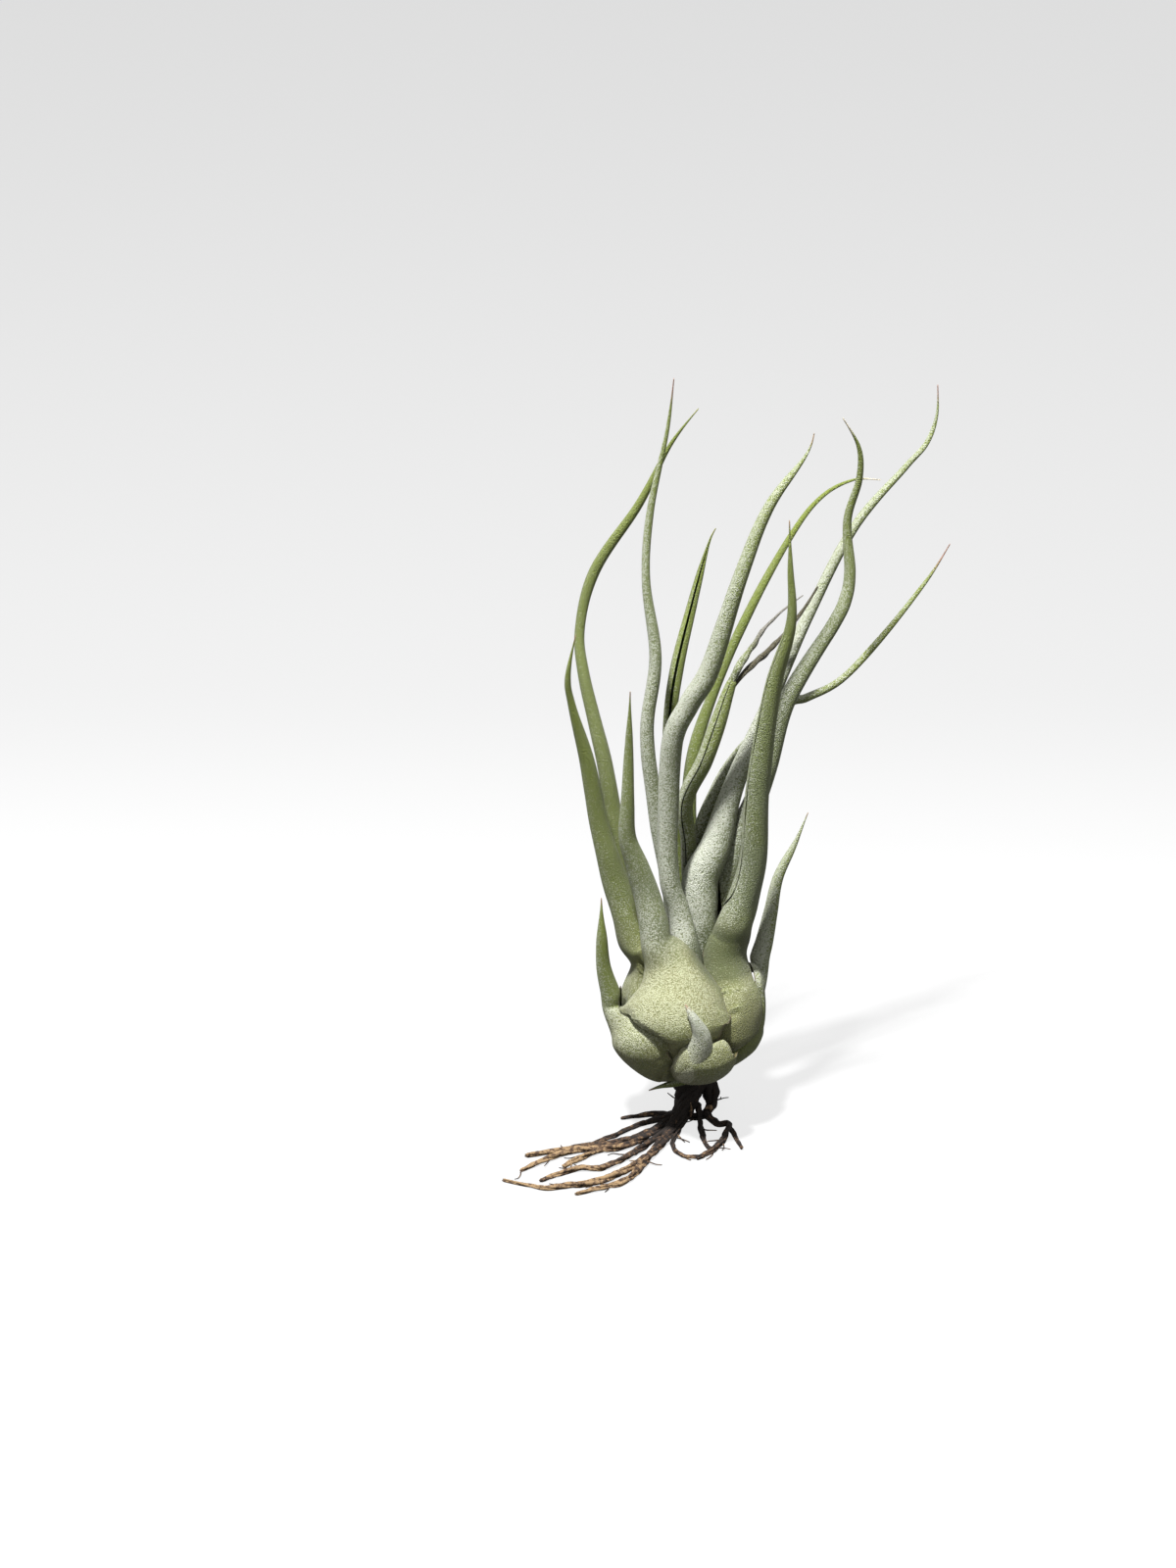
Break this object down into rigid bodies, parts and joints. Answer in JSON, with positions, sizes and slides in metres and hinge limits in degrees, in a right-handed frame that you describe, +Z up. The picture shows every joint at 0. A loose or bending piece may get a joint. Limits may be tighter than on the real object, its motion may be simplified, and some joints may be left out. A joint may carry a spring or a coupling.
{
  "type": "ehlersiana bulbosa hybrid air plant",
  "caption": "Bulbous air plant: swollen bulb of overlapping sheaths, long curling channelled leaves and a fan of wiry roots that it stands on.",
  "frame": {"origin": "on the flat spot under the root crown, at the height of the surface that the plant stands on", "axes": "+Z up through the bulb and the leaves, -Y towards the front, where the short spined leaf stands against the bulb"},
  "size_m": [0.1161, 0.0837, 0.201],
  "materials": {
    "leaf_pale": "matte",
    "leaf_green": "matte",
    "leaf_dark": "matte",
    "leaf_bulb": "matte",
    "roots": "matte"
  },
  "bodies": {
    "root": {"stem_and_roots": "roots", "leaf_frayed": "leaf_green", "leaf_back_channel": "leaf_dark", "leaf_back_arching": "leaf_dark", "leaf_left_middle": "leaf_pale", "leaf_right_tallest": "leaf_pale", "leaf_front_tall": "leaf_pale", "leaf_right_thin": "leaf_green", "leaf_left_tall": "leaf_green", "leaf_right_back": "leaf_pale", "leaf_left_outer": "leaf_green", "leaf_right_front": "leaf_pale", "leaf_front_short": "leaf_bulb", "leaf_back_lower": "leaf_green", "leaf_right_outer": "leaf_dark", "leaf_left_lower": "leaf_green", "leaf_front_lower": "leaf_green", "leaf_under_left": "leaf_dark"}
  },
  "joints": []
}
